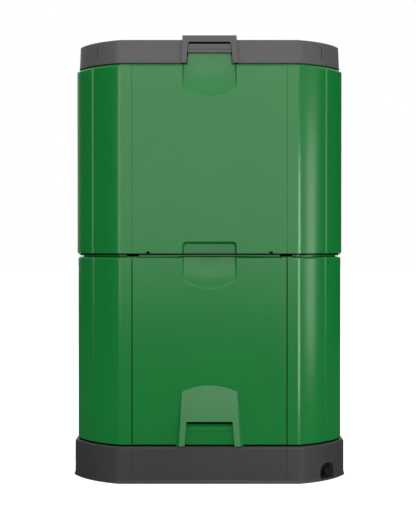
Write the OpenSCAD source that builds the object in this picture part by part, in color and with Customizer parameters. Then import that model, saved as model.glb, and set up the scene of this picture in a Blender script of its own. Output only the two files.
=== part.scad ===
// Insulated compost bin: drain base, two tiers of foam-filled walls, two tilting doors,
// a slotted air core and a hinged lid. Millimetres, front faces -Y, origin on the ground
// under the middle of the bin.

/* [Walls] */
// Width of the upper tier over its flat faces
wall_w = 723; // [690:1:760]
// Distance of each corner arc's centre behind the wall faces
corner_in = 210.5; // [205:0.5:216]
// Radius of the corner arcs of the upper tier
corner_r = 227; // [222:1:232]
// Radius that softens the crease between a flat face and a corner arc
crease_r = 28; // [20:1:40]
// Thickness of a wall from its outer to its inner face
wall_t = 40; // [38:0.5:50]
// Wall thickness of the moulded outer skins
skin_t = 3; // [2.5:0.1:3.4]
// Wall thickness of the moulded inner liners
liner_t = 3; // [2.5:0.1:3.4]
// Depth at which a skin and its liner meet
split_in = 20; // [19.6:0.1:20.4]
// How far the hidden legs of a wall stand back from its face
leg_in = 17; // [16.6:0.1:17]
// How far the lower tier stands back from the upper tier
lower_step = 2.5; // [1:0.1:3]
// Radius along the top edges of the tiers
edge_r = 6.5; // [3:0.5:8]
// Half the gap between two walls at a corner joint
mitre_gap = 0.25; // [0.15:0.05:0.4]
// Depth of the groove along each corner joint
mitre_groove = 3.8; // [1:0.1:4]
// Half width of the middle panel that the thin grooves mark
panel_half = 204; // [190:1:210]
// Width of the thin panel grooves
line_w = 0.8; // [0.6:0.1:2.4]

/* [Heights] */
// Height of the base over its rim
base_h = 97; // [85:1:120]
// Shadow gap between the base rim and the lower tier
base_gap = 4.6; // [4:0.1:6]
// Height of the lower tier
lower_h = 493.9; // [450:1:520]
// Open height of the seam between the tiers
seam_gap = 9.7; // [9:0.1:12]
// Height of the upper tier
upper_h = 495.8; // [440:1:540]
// Gap between the upper tier and the lid skirt
lid_gap = 4.6; // [4:0.1:6]
// Height of the lid over its rim
lid_h = 61.4; // [58:0.1:66]
// Rise of the lid from its rim to its middle
crown_h = 9; // [5:0.5:12]
// Distance from the lid's edge to the foot of its crown
crown_in = 9; // [6:0.5:14]
// Distance from the wall face to the flat middle of the crown
crown_flat_in = 110; // [90:5:140]
// Depth of the rebate that the lower walls stand in
ledge_drop = 9; // [8:0.5:12]
// Height of the neck that the lid closes over
neck_h = 27; // [26:0.5:27.5]
// Depth of the lid's plug under the top of the neck
plug_h = 16; // [12:0.5:18]

/* [Joints between walls] */
// Depth of the locating tongue's near face behind the wall face
tongue_in = 25; // [25:0.1:26]
// Thickness of the locating tongue
tongue_t = 6; // [4:0.5:6]
// Height of the locating tongue
tongue_h = 7; // [5:0.5:8]
// Projection of the bead along the seam
bead_d = 9; // [6:0.5:10]
// Height of the bead along the seam
bead_h = 3.4; // [2:0.2:4]
// Length of a clip slot in the seam
clip_len = 48; // [30:1:50]
// Distance from the middle of a wall to the middle of a clip slot
clip_x = 209.5; // [205:0.5:212]
// Distance from the middle of a wall to a drain mark over the seam
drain_x = 161.6; // [155:0.1:165]
// Radius of the drain marks over the seam
drain_r = 5.5; // [4:0.5:6]
// Depth of the drain marks over the seam
drain_d = 2.2; // [1:0.1:2.4]
// Height of a clip slot
clip_h = 8; // [6:0.5:9]
// Depth of a clip slot behind the legs
clip_d = 8.3; // [8:0.1:9]
// Thickness of a clip
clip_t = 4; // [3:0.5:4]
// Length of the bead that runs on over the outer end of each clip slot
clip_bead = 16; // [10:1:24]

/* [Finger scoops] */
// Half width of the scoops
scoop_half = 71; // [60:1:76]
// Radius of the circle that a scoop cuts in a wall face
scoop_circle = 118; // [110:1:122]
// Depth of a scoop at its centre
scoop_depth = 12; // [9:0.5:12]
// Distance over which a scoop runs out to the wall face at its foot
scoop_run = 76; // [60:1:90]
// Narrowing of a scoop from the wall face to its floor, on each side
scoop_narrow = 5; // [3:0.5:6]
// Radius of the seam scoop's upper corners
scoop_corner = 10; // [8:0.5:12]
// Height of the lid scoop's centre over the upper tier
lid_scoop_up = 33; // [30:1:36]
// Height of the seam scoop's centre over the foot of the upper tier
seam_scoop_up = 23.8; // [20:1:28]
// Height of the seam scoop's roof over the foot of the upper tier
seam_roof_up = 29.8; // [26:1:34]

/* [Doors] */
// Half width of a door
door_half = 202.7; // [195:0.1:203]
// Gap at each side of a door
door_gap = 2.6; // [1.6:0.1:3]
// Depth of the door skin's tray
door_depth = 12; // [11:0.1:12]
// Half width of the plug behind a door
plug_half = 180; // [160:1:184]
// Gap all round the plug
plug_gap = 3; // [2.5:0.1:4]
// Height of the frame under the door opening
sill_h = 22; // [20:1:30]
// Height of the frame over the door opening
head_h = 22; // [20:1:30]
// Radius of the pins that a door hangs on
pivot_r = 3; // [2.5:0.1:3.2]
// Running clearance round the hinge pins
pin_clear = 0.06; // [0.03:0.01:0.09]
// Depth of the door pins behind the upper wall face
pivot_in = 9; // [8.6:0.1:9.2]
// Distance of the door pins below the door's top edge
pivot_down = 5.5; // [5.2:0.1:6]
// Length of a door pin on each side of the door gap
pin_reach = 9; // [8:0.5:10]
// Wall of the bosses round the door pins
boss_t = 2; // [1.8:0.1:2.2]

/* [Door pull] */
// Half width of the pull at its shoulders
pull_half = 72.5; // [66:0.5:74]
// Half width of the pull at its foot
pull_foot_half = 80; // [76:0.5:84]
// Height of the pull's shoulders over the foot of the door
pull_shoulder = 139.4; // [125:1:150]
// Rise of the arch over the shoulders
pull_arch = 16.6; // [10:0.5:20]
// Height of the finger opening over the foot of the door
pull_open = 60.9; // [50:1:70]
// Half width of the finger opening at its top
pull_open_half = 61; // [54:0.5:63]
// Projection of the pull from the door
pull_d = 10.5; // [8:0.5:10.5]
// Projection of the pull at the top of its arch
pull_top_d = 1.2; // [1:0.1:2]
// Width of the pull's sloping sides at its foot
pull_flare = 8.5; // [6:0.5:9]
// Rounding of the finger opening's upper corners
pull_mouth_r = 4; // [2:0.5:6]
// Wall thickness of the pull
pull_t = 3; // [2:0.1:3.5]
// Height of the finger pocket's lower edge over the foot of the door
pocket_low = 43.4; // [40:0.2:46]
// Height of the finger pocket's upper edge over the foot of the door
pocket_high = 112; // [95:1:120]
// Depth of the finger pocket in the door
pocket_d = 9; // [6:0.5:9]
// Height of the slope at the foot of the finger pocket
pocket_slope = 12; // [8:0.5:16]
// Radius of the bead under the finger pocket
pocket_bead_r = 2.2; // [1.8:0.1:2.4]
// Distance of the bead's middle below the finger pocket
pocket_bead_down = 3; // [2.6:0.1:3.4]
// How far the pull's feet hang below the door
pull_hang = 3.7; // [2:0.1:4]
// Widening of the finger opening at its foot, on each side
pull_open_draft = 5; // [2:0.5:6]
// Radius of the pegs that hold the pull
peg_r = 2.5; // [2:0.1:3]
// Distance of the pegs from the pull's shoulders
peg_in = 5; // [4.5:0.1:5.5]
// Length of the pegs that hold the pull
peg_l = 6; // [5:0.5:6.5]
// Height of the lower pegs over the foot of the door
peg_low = 75; // [70:1:80]
// Height of the upper pegs over the foot of the door
peg_high = 128; // [122:1:130]

/* [Base] */
// How far the base skirt stands proud of the upper tier
skirt_out = 5.5; // [4:0.1:6.5]
// Radius along the rim of the base
rim_r = 5; // [3:0.5:7]
// How far the foot lip stands proud of the upper tier
lip_out = 8.5; // [7.5:0.1:9]
// Height of the foot lip
lip_h = 11; // [8:0.5:14]
// Half width of the recess under the door pull
recess_half = 76; // [74:0.5:78]
// Width of the small notches at the foot of the recess
foot_notch_w = 9; // [6:0.5:12]
// Height of the small notches at the foot of the recess
foot_notch_h = 2.4; // [2:0.2:3]
// Depth of the recess under the door pull
recess_d = 0.8; // [0.6:0.1:1.2]
// Wall thickness of the base
base_t = 4; // [3:0.5:5]
// Height of the drain grate over the ground
grate_z = 74; // [60:1:78]
// Thickness of the drain grate
grate_t = 5; // [4:0.5:7]
// Width of the drain slots
slot_w = 6; // [4:0.5:8]
// Length of the drain slots
slot_l = 58; // [40:1:60]
// Bar between two drain slots of a row
slot_bar = 18; // [12:1:24]
// Spacing of the rows of drain slots
slot_pitch = 40; // [30:1:50]
// Width of the grate's rim inside the air core
lung_rim = 12; // [8:0.5:16]
// Radius of the pillars under the grate
pillar_r = 11; // [8:0.5:14]
// Spacing of the pillars
pillar_pitch = 190; // [170:1:200]

/* [Tap] */
// Width of the arch in front of the tap
arch_w = 55; // [50:1:60]
// Height of the arch in front of the tap
arch_h = 46; // [42:1:52]
// Radius of the arch's upper corners
arch_r = 24; // [16:1:25]
// Depth of the tap pocket behind the skirt
arch_d = 58; // [52:1:62]
// Height of the tap over the ground
tap_z = 21; // [19:0.5:23]
// Sideways offset of the tap from the corner line
tap_side = 7; // [4:0.5:8]
// Radius of the tap barrel
tap_r = 8; // [7:0.5:9]
// Radius of the hose spigot
spigot_r = 6.5; // [5.5:0.1:6.8]
// Length of the hose spigot
spigot_l = 15; // [12:0.5:16]
// Radius of the water way
water_r = 4; // [3:0.5:4.5]
// Length of the tap lever from its stem
lever_l = 21; // [16:0.5:22]
// Distance of the spigot's tip behind the skirt's corner
tap_short = 8; // [7:0.5:9]
// Distance of the lever's stem from the back of the pocket
stem_out = 22; // [21:0.5:24]
// Rise of the stem's tube over the tap barrel
stem_up = 4; // [3:0.5:4.5]
// Radius of the stem's tube on the tap barrel
stem_r = 6; // [5.5:0.1:6.5]
// Radius of the tap's stem
plug_r = 3; // [2.5:0.1:3.5]
// Thickness of the tap lever
lever_t = 5; // [4:0.5:6]
// Width of the tap lever
lever_w = 8; // [6:0.5:10]
// Length of the tap barrel behind the wall of the pocket
tail_l = 14; // [13:0.5:18]
// Thickness of the tap's nut
nut_t = 8; // [6:0.5:8]
// Thickness of the tap's seal
seal_t = 2; // [1.5:0.1:2.5]
// Thickness of the tap's flange
tap_flange_t = 3.4; // [3:0.1:4.5]

/* [Air core] */
// Width of the air core
lung_w = 330; // [260:1:360]
// Depth of the air core
lung_d = 96; // [80:1:120]
// Height of the air core over the grate
lung_h = 720; // [600:1:820]
// Wall thickness of the air core
lung_t = 3; // [2.5:0.1:4]
// Height of the air slots
vent_h = 6; // [4:0.5:8]
// Width of the air slots
vent_w = 54; // [40:1:60]
// Rise from one row of air slots to the next
vent_pitch = 36; // [28:1:48]
// Corner radius of the air core
lung_r = 32; // [26:1:36]
// Thickness of the flange under the air core
flange_t = 4; // [3:0.5:6]
// Width of the flange round the air core
flange_w = 16; // [10:1:24]
// Height of the collar that the air core stands in
collar_h = 26; // [18:1:34]
// Height of the cap's skirt round the air core
cap_h = 22; // [16:1:30]
// Spacing of the slots in the cap
cap_pitch = 42; // [38:1:43]
// Length of the slots in the cap
cap_slot_l = 30; // [20:1:32]

/* [Lid] */
// How far the lid skirt's foot stands back from the upper tier
lid_foot_in = 7.5; // [6.5:0.1:8]
// How far the lid's top edge stands back from the upper tier
lid_top_in = 10; // [9.5:0.1:11]
// Height of the lip round the lid skirt's foot
lid_lip_h = 3.6; // [3:0.1:5]
// Projection of the lip round the lid skirt's foot
lid_lip_d = 1; // [0.8:0.1:1.4]
// Height of the hooked slits in the lid's corners
slit_h = 26; // [20:1:30]
// Width of the hooked slits in the lid's corners
slit_w = 2.4; // [1.6:0.2:3]
// Depth of the hooked slits in the lid's corners
slit_d = 1; // [0.6:0.1:1.1]
// Angle of the hooked slits from the front of the corner arcs
slit_turn = 42.5; // [40:0.5:50]
// Height of the slits' foot over the lid's rim
slit_up = 18; // [14:0.5:24]
// Depth of the two slits in the lid's front
line_d = 0.7; // [0.5:0.1:1]
// Drop of the lid's front edge between its slits
edge_drop = 4.5; // [3:0.5:5]
// Radius along the lid's top edge
lid_edge_r = 4; // [2:0.5:5]
// How far the lid's plug stands in from the upper tier's face
plug_in = 48; // [46.5:0.5:54]
// Radius of the lid hinge pins
hinge_r = 4; // [3:0.5:4.5]
// Radius of the lid hinge knuckles
knuckle_r = 8; // [7:0.5:8.5]
// Distance of each lid hinge from the middle
hinge_x = 170; // [120:1:220]
// Length of one hinge knuckle
knuckle_l = 24; // [16:1:32]
// Half width of the hood at its top
hood_half = 71; // [68:0.5:74]
// Half width of the hood at its foot
hood_foot_half = 74; // [73:0.5:74.5]
// Height of the hood over the lid's edge
hood_rise = 13; // [8:0.5:16]
// Projection of the hood from the lid skirt
hood_out = 7; // [5:0.5:8]
// Half width of the hood's opening at its top
mouth_half = 56; // [52:0.5:58]
// Half width of the hood's opening at its foot
mouth_foot_half = 61.5; // [59:0.5:63]
// Thickness of the hood over its opening
hood_t = 20; // [17:0.5:22]
// Rounding of the upper corners of the hood's opening
mouth_r = 5; // [3:0.5:6]
// Depth of the hood's back edge behind the upper wall face
hood_back = 80; // [70:1:90]
// Drop of the hood's top from its middle to its front edge
hood_drop = 5; // [3:0.5:7]
// Width of the bevel along the hood's front edge
hood_bevel = 3; // [2:0.5:4]
// Distance from the hood's front edge to its highest line
hood_crest = 26; // [18:1:34]
// Depth of the pocket behind the hood's opening
pocket_in = 27.5; // [27:0.1:28]
// Depth of the hinge pins behind the upper wall face
hinge_in = 1.5; // [1.3:0.1:1.7]

/* [Lid latch] */
// Height of the latch's lower edge over the tab's top
latch_clear = 0.5; // [0.3:0.1:0.8]
// Height of the latch plate
latch_h = 22.5; // [20:0.5:24]
// Thickness of the latch plate
latch_t = 4; // [3:0.5:4]
// Radius of the latch's pivot stubs
stub_r = 2.5; // [2:0.1:2.8]
// Half width of the latch's catch
catch_half = 17; // [12:1:22]
// Thickness of the latch's catch
catch_t = 3; // [2.5:0.1:3.5]
// Reach of the catch below the latch plate
catch_h = 9; // [6:0.5:10]
// Gap at each side of the latch plate
latch_side = 1.2; // [0.8:0.1:1.6]
// Length of a pivot stub
stub_l = 6; // [5:0.5:7]
// Height of the pivot over the latch's lower edge
rod_up = 8.5; // [8:0.5:9]
// Depth of the pivot behind the upper wall face
rod_in = 9.5; // [9.2:0.1:9.8]
// Depth of the latch plate behind the upper wall face
plate_in = 3.5; // [3.2:0.1:3.8]
// Height of the green tab over the upper tier
tab_h = 31; // [30.5:0.5:31.5]
// Half width of the green tab
tab_half = 56; // [50:0.5:57]
// Half width of the notch behind the tab
notch_half = 75.5; // [75.5:0.5:78]
// Depth of the notch behind the tab
notch_in = 26; // [25.5:0.1:26.4]

/* [Clearances] */
// Gap between neighbouring pieces that are fixed to each other
fit = 0.3; // [0.2:0.05:0.4]

/* [Hidden] */
$fn = 96;

FRONT = 0;
RIGHT = 90;
REAR = 180;
LEFT = 270;

green = [0.16, 0.46, 0.24];
dark_grey = [0.27, 0.27, 0.28];
lid_grey = [0.36, 0.36, 0.37];
black = [0.12, 0.12, 0.13];
foam_white = [0.9, 0.9, 0.88];
steel = [0.7, 0.71, 0.73];

half_w = wall_w / 2;

// Distance of each corner arc's centre from the two middle planes
corner_c = half_w - corner_in;

// Reach of a cutting shape beyond what it cuts: at an end, past an outline, before a face
over = 1;
past = 3;
air = 5;

lower_z = base_h + base_gap;
lower_top = lower_z + lower_h;
upper_z = lower_top + seam_gap;
upper_top = upper_z + upper_h;
lid_z = upper_top + lid_gap;
lid_top = lid_z + lid_h;
hood_top = lid_top + hood_rise;
ledge_z = base_h - ledge_drop;
seam_z = lower_top + seam_gap / 2;
neck_top = upper_top + neck_h;
tab_top = upper_top + tab_h;

lower_foot = ledge_z + fit;
lower_head = seam_z - fit / 2;
upper_foot = seam_z + fit / 2;

scoop_flat = scoop_circle - scoop_run;
scoop_arc = (pow(scoop_run, 2) + pow(scoop_depth, 2)) / (2 * scoop_depth);
scoop_slope = scoop_narrow / scoop_depth;
scoop_back = scoop_depth + skin_t + fit;
scoop_room = scoop_half + skin_t + past;
lid_scoop_z = upper_top + lid_scoop_up;
seam_scoop_z = upper_z + seam_scoop_up;
seam_roof_z = upper_z + seam_roof_up;

door_face = half_w - lower_step;
door_foot = lower_z + fit;
door_top = lower_top - fit;
open_half = door_half + door_gap;
jamb_half = open_half + skin_t;
plug_open = plug_half + plug_gap;
sill_z = lower_z + sill_h;
head_z = lower_top - head_h;
pivot_y = half_w - pivot_in;
pivot_z = lower_top - pivot_down;

pull_top = lower_z + pull_shoulder + pull_arch;
mouth_z = lower_z + pull_open;
bead_z = lower_z + pocket_low - pocket_bead_down;

hinge_y = half_w - hinge_in;
hinge_z = upper_top + lid_gap / 2;
half_l = knuckle_l / 2;
hinge_back = knuckle_r + 2 * skin_t;
lid_seat = neck_top + fit;
plate_top = lid_seat + liner_t;
plug_z = neck_top - plug_h;
hood_face = half_w - lid_foot_in + hood_out;
mouth_top = hood_top - hood_t;
tab_in = scoop_depth + 1;
latch_z = tab_top + latch_clear;
latch_top = latch_z + latch_h;
rod_z = latch_z + rod_up;

grate_top = grate_z + grate_t;
lung_z = grate_top + fit;
lung_top = lung_z + lung_h;

skirt_corner = corner_c * sqrt(2) + corner_r + skirt_out;
pocket_back = skirt_corner - arch_d;
tap_tip = skirt_corner - tap_short;
spigot_x = tap_tip - spigot_l;
stem_x = pocket_back + stem_out;
stem_top = tap_z + tap_r + stem_up;

// Corner arcs, seen from above

// The sliver outside the small arc that rounds one crease
module crease_cut(half, rad, soft) {
  along = corner_c + sqrt(pow(rad - soft, 2) - pow(half - soft - corner_c, 2));
  centre = [along, half - soft];
  from_corner = centre - [corner_c, corner_c];
  outward = from_corner / norm(from_corner);
  crease = [corner_c + sqrt(pow(rad, 2) - pow(half - corner_c, 2)), half];
  difference() {
    polygon([centre, [along, half + past], crease + (past + over) * [1, 1],
             centre + outward * (soft + past)]);
    translate(centre) circle(soft);
  }
}

module crease_cuts(inset) {
  soft = crease_r - inset;
  if (soft > 1)
    for (turn = [0 : 90 : 270], side = [0, 1])
      rotate(turn) mirror([side, 0]) crease_cut(half_w - inset, corner_r - inset, soft);
}

// Outline of the bin, drawn in from the upper tier's face by inset
module plan(inset) {
  difference() {
    square(2 * (half_w - inset), center = true);
    for (turn = [0 : 90 : 270])
      rotate(turn) translate([corner_c, corner_c]) difference() {
        square(half_w);
        circle(corner_r - inset, $fn = 180);
      }
    crease_cuts(inset);
  }
}

module ring(outer, inner) {
  difference() {
    plan(outer);
    plan(inner);
  }
}

// The quarter of the plan that belongs to the front wall, drawn in by edge at each joint
module quarter(edge) {
  tip = edge * sqrt(2);
  reach = wall_w;
  polygon([[0, -tip], [reach, -reach - tip], [-reach, -reach - tip]]);
}

module up(z0, z1) {
  translate([0, 0, z0]) linear_extrude(z1 - z0) children();
}

// A block behind the front face: half width, depth range from the face, height range
module front_block(half, near, far, z0, z1) {
  translate([-half, -half_w + near, z0]) cube([2 * half, far - near, z1 - z0]);
}

// Rounded and drafted outer forms

// The piece outside an arc that rounds the top corner of a side profile
module round_cut(edge, top, lean, r) {
  run = r * (1 - sin(lean)) / cos(lean);
  normal = [cos(lean), sin(lean)];
  centre = [edge, top] + run * [sin(lean), -cos(lean)] - r * normal;
  difference() {
    polygon([centre, centre + [0, r + past], [edge + past, top + past],
             centre + (r + past) * normal]);
    translate(centre) circle(r);
  }
}

module side_profile(foot, edge, z0, z1, r) {
  lean = atan2(foot - edge, z1 - z0);
  difference() {
    polygon([[-foot, z0], [foot, z0], [edge, z1], [-edge, z1]]);
    if (r > 0)
      for (side = [0, 1]) mirror([side, 0]) round_cut(edge, z1, lean, r);
  }
}

module corner_profile(foot, edge, z0, z1, r) {
  lean = atan2(foot - edge, z1 - z0);
  difference() {
    polygon([[0, z0 - over], [foot, z0 - over], [foot, z0], [edge, z1], [edge, z1 + over],
             [0, z1 + over]]);
    if (r > 0) round_cut(edge, z1, lean, r);
  }
}

// The whole plan as a block whose sides lean in and whose top edge is round
module drafted_block(foot_in, top_in, z0, z1, r) {
  foot = half_w - foot_in;
  edge = half_w - top_in;
  difference() {
    intersection() {
      rotate([90, 0, 0]) linear_extrude(2 * wall_w, center = true)
        side_profile(foot, edge, z0, z1, r);
      rotate([90, 0, 90]) linear_extrude(2 * wall_w, center = true)
        side_profile(foot, edge, z0, z1, r);
    }
    for (turn = [0 : 90 : 270])
      rotate(turn) translate([corner_c, corner_c, 0]) difference() {
        translate([0, 0, z0 - over]) cube([half_w, half_w, z1 - z0 + 2 * over]);
        rotate_extrude($fn = 180)
          corner_profile(corner_r - foot_in, corner_r - top_in, z0, z1, r);
      }
  }
}

module tier_block(inset, z0, z1) {
  difference() {
    drafted_block(inset, inset, z0, z1, edge_r);
    up(z0 - over, z1 + over) crease_cuts(inset);
  }
}

// Finger scoops: a dish with sloping sides, and the same form grown for the shell behind it

// A dish round the scoop's centre: flat in the middle, run out to the face along an arc
module scoop_dish(z, step, grow) {
  floor_at = scoop_depth + grow;
  translate([0, -half_w + step, z]) rotate([-90, 0, 0]) rotate_extrude($fn = 180)
    difference() {
      translate([0, -air]) square([1.5 * scoop_circle, floor_at + air]);
      difference() {
        translate([scoop_flat, -2 * air]) square([2 * scoop_circle, floor_at + 3 * air]);
        translate([scoop_flat, scoop_depth - scoop_arc]) circle(scoop_arc + grow, $fn = 360);
      }
    }
}

module scoop_sides(step, grow, z0, z1) {
  half = scoop_half + grow;
  deep = scoop_back + over;
  near = half + air * scoop_slope;
  far = half - deep * scoop_slope;
  translate([0, -half_w + step, 0]) up(z0, z1)
    polygon([[-near, -air], [near, -air], [far, deep], [-far, deep]]);
}

// The room under a scoop's sloping roof, with round upper corners
module scoop_roof(step, grow, z1) {
  half = scoop_half + grow;
  top = z1 + grow;
  r = scoop_corner + grow;
  deep = scoop_back + over;
  difference() {
    translate([0, -half_w + step, 0]) rotate([90, 0, 90]) linear_extrude(3 * half, center = true)
      polygon([[-air, top - scoop_circle], [deep, top - scoop_circle],
               [deep, top - deep * scoop_slope], [-air, top + air * scoop_slope]]);
    for (side = [0, 1])
      mirror([side, 0, 0]) translate([half - r, -half_w + step, top - r]) difference() {
        translate([0, -air - over, 0]) cube([2 * r, deep + air + 2 * over, 2 * r]);
        translate([0, -air - 2 * over, 0]) rotate([-90, 0, 0])
          cylinder(deep + air + 4 * over, r1 = r + (air + 2 * over) * scoop_slope,
                   r2 = r - (deep + 2 * over) * scoop_slope);
      }
  }
}

module scoop_cut(z, step, z0, z1) {
  intersection() {
    scoop_dish(z, step, 0);
    scoop_sides(step, 0, z0, z1);
  }
}

module scoop_shell(z, step, z0, z1) {
  intersection() {
    scoop_dish(z, step, skin_t);
    scoop_sides(step, skin_t, z0, z1);
    front_block(scoop_half + 2 * skin_t, step + 1, step + scoop_back + over, z0, z1);
  }
}

// Grooves of the panel lines and of the corner joints

module panel_lines(face, z0, z1) {
  for (side = [-1, 1])
    translate([side * panel_half, -face, z0]) rotate(45)
      translate([-line_w / 2, -line_w / 2, 0]) cube([line_w, line_w, z1 - z0]);
}

module corner_grooves(inset, z0, z1) {
  at_corner = corner_c + (corner_r - inset - mitre_groove) / sqrt(2);
  for (turn = [0, 270])
    rotate(turn) translate([at_corner, -at_corner, z0]) rotate(-90)
      cube([3 * mitre_groove, 3 * mitre_groove, z1 - z0]);
}

// Clip slots in the seam and the small drain marks beside them

module seam_slots(grow) {
  tall = clip_h / 2 + grow;
  for (side = [-1, 1])
    translate([side * clip_x - clip_len / 2 - grow, -half_w + leg_in - over, seam_z - tall])
      cube([clip_len + 2 * grow, over + clip_d + fit + grow, 2 * tall]);
}

// The bead is cut away in front of the inner part of each clip slot
module bead_gaps() {
  for (side = [0, 1])
    mirror([side, 0, 0])
      translate([clip_x - clip_len / 2, -half_w, seam_z - clip_h / 2])
        cube([clip_len - clip_bead, leg_in, clip_h]);
}

// One wall, drawn as the front wall of its tier

module wall_skin(step, z0, z1, foot, head, bead_foot, bead_head, solid_half) {
  difference() {
    intersection() {
      union() {
        tier_block(step, z0, z1);
        up(foot, head) plan(leg_in);
        if (bead_foot) up(foot, foot + bead_h / 2) plan(leg_in - bead_d);
        if (bead_head) up(head - bead_h / 2, head) plan(leg_in - bead_d);
      }
      up(foot - over, head + over) quarter(mitre_gap);
    }
    up(foot - over, head + over) plan(split_in);
    difference() {
      up(z0 + skin_t, z1 - skin_t) intersection() {
        plan(step + skin_t);
        quarter(mitre_gap + skin_t);
      }
      if (solid_half > 0) front_block(solid_half, -over, split_in + over, z0, z1);
    }
    corner_grooves(step, z0 - over, z1 + over);
    seam_slots(0);
    bead_gaps();
  }
}

module wall_foam(step, z0, z1, foot, head) {
  bar_t = skin_t + fit;
  intersection() {
    difference() {
      union() {
        up(z0 + bar_t, z1 - bar_t) plan(step + bar_t);
        up(foot + liner_t + fit, head - liner_t - fit) plan(split_in + fit);
      }
      up(foot - over, head + over) plan(wall_t - liner_t - fit);
      up(foot - over, foot + tongue_h + liner_t + 2 * fit)
        ring(tongue_in - 2 * fit - liner_t, tongue_in + tongue_t + 2 * fit + liner_t);
    }
    up(foot - over, head + over) quarter(mitre_gap + skin_t + fit);
  }
}

module wall_liner(foot, head, has_tongue) {
  groove_top = foot + tongue_h + fit;
  difference() {
    union() {
      difference() {
        up(foot, head) intersection() {
          ring(split_in + fit, wall_t);
          quarter(mitre_gap);
        }
        up(foot + liner_t, head - liner_t) intersection() {
          ring(split_in - 1, wall_t - liner_t);
          quarter(mitre_gap + liner_t);
        }
      }
      up(foot, groove_top + liner_t) intersection() {
        ring(tongue_in - fit - liner_t, tongue_in + tongue_t + fit + liner_t);
        quarter(mitre_gap);
      }
      if (has_tongue)
        up(head - over, head + tongue_h) intersection() {
          ring(tongue_in, tongue_in + tongue_t);
          quarter(mitre_gap + liner_t);
        }
    }
    up(foot - over, groove_top) ring(tongue_in - fit, tongue_in + tongue_t + fit);
  }
}

module lower_skin() {
  wall_skin(lower_step, lower_z, lower_top, lower_foot, lower_head, false, true, 0);
}

module lower_foam() {
  difference() {
    wall_foam(lower_step, lower_z, lower_top, lower_foot, lower_head);
    seam_slots(skin_t + fit);
  }
}

module lower_liner() {
  difference() {
    wall_liner(lower_foot, lower_head, true);
    seam_slots(0);
  }
}

module upper_skin() {
  difference() {
    wall_skin(0, upper_z, upper_top, upper_foot, neck_top, true, false, 0);
    panel_lines(half_w, upper_z - over, upper_top + over);
  }
}

module upper_foam() {
  difference() {
    wall_foam(0, upper_z, upper_top, upper_foot, neck_top);
    seam_slots(skin_t + fit);
  }
}

module upper_liner() {
  difference() {
    wall_liner(upper_foot, neck_top, false);
    seam_slots(0);
  }
}

// Lower walls with a door opening

module door_opening() {
  front_block(open_half, -air, leg_in, lower_z - air, lower_top + over / 2);
  front_block(plug_open, -air, wall_t + air, sill_z, head_z);
  front_block(scoop_room, 0, split_in + over, head_z - over, lower_head - skin_t);
}

// Solid lumps round the door pins, from x0 outwards on both sides
module pin_bosses(x0, x1, near, far) {
  for (side = [0, 1])
    mirror([side, 0, 0])
      translate([x0, -half_w + near, pivot_z - pivot_r - boss_t])
        cube([x1 - x0, far - near, 2 * (pivot_r + boss_t)]);
}

module pin_bores() {
  for (side = [-1, 1])
    translate([side * (door_half + door_gap / 2), -pivot_y, pivot_z])
      rotate([0, 90, 0]) cylinder(2 * (pin_reach + fit), r = pivot_r + pin_clear, center = true);
}

module frame_skin() {
  difference() {
    union() {
      difference() {
        wall_skin(lower_step, lower_z, lower_top, lower_foot, lower_head, false, true, jamb_half);
        door_opening();
      }
      pin_bosses(open_half, open_half + pin_reach + boss_t, lower_step + 1, pivot_in + pivot_r + boss_t);
    }
    pin_bores();
  }
}

module frame_foam() {
  bar_t = liner_t + fit;
  difference() {
    wall_foam(lower_step, lower_z, lower_top, lower_foot, lower_head);
    front_block(jamb_half + fit, -over, split_in + fit, lower_foot, lower_head);
    pin_bosses(jamb_half, open_half + pin_reach + boss_t + fit, 0, pivot_in + pivot_r + boss_t + fit);
    front_block(plug_open + bar_t, 0, wall_t + over, sill_z - bar_t, head_z + bar_t);
    front_block(scoop_room + bar_t, 0, split_in + fit + bar_t, sill_z, lower_head);
    seam_slots(skin_t + fit);
  }
}

module frame_liner() {
  difference() {
    union() {
      wall_liner(lower_foot, lower_head, true);
      front_block(plug_open + liner_t, split_in + fit, wall_t - over / 2,
                  sill_z - liner_t, head_z + liner_t);
      front_block(scoop_room + liner_t, split_in + fit, split_in + fit + liner_t, head_z, lower_head);
    }
    front_block(plug_open, 0, wall_t + over, sill_z, head_z);
    seam_slots(0);
  }
}

// Upper front wall: lid scoop, tab and the notch that the latch swings in

module upper_scooped_skin() {
  difference() {
    union() {
      upper_skin();
      intersection() {
        scoop_shell(seam_scoop_z, lower_step, upper_z + fit, seam_roof_z + skin_t);
        scoop_roof(lower_step, skin_t, seam_roof_z);
      }
    }
    intersection() {
      scoop_cut(seam_scoop_z, lower_step, upper_foot + bead_h / 2 + fit, seam_roof_z + air);
      scoop_roof(lower_step, 0, seam_roof_z);
    }
    drain_marks(0, -over, drain_d);
  }
}

// Half-round marks under the edge of the upper tier, where rain drips off
module drain_marks(inset, near, far) {
  for (side = [-1, 1])
    translate([side * drain_x, -half_w + far, upper_z])
      rotate([90, 0, 0]) cylinder(far - near, r = drain_r - inset);
}

module scoop_foam_cuts() {
  front_block(scoop_half + skin_t + fit, 0, lower_step + scoop_back, upper_foot,
              seam_roof_z + skin_t + fit);
}

module upper_front() {
  low = lid_scoop_z - scoop_circle - air;
  notch_wall = notch_half + skin_t;
  difference() {
    union() {
      difference() {
        union() {
          upper_scooped_skin();
          scoop_shell(lid_scoop_z, 0, low, upper_top - fit);
          front_block(notch_wall, edge_r + over, notch_in + skin_t, upper_top - skin_t, upper_top);
          front_block(notch_wall, leg_in, notch_in + skin_t, upper_top - skin_t, neck_top);
        }
        front_block(notch_half, -air, notch_in, upper_top, neck_top + over);
      }
      front_block(tab_half, tab_in, tab_in + skin_t, upper_top - skin_t, tab_top);
    }
    scoop_cut(lid_scoop_z, 0, low, tab_top + over);
  }
}

module upper_front_inner(margin) {
  front_block(notch_half + skin_t + margin, 0, notch_in + skin_t + margin,
              upper_top - skin_t - margin, neck_top + over);
}

// Upper rear wall with the fixed knuckles of the lid hinges

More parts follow.
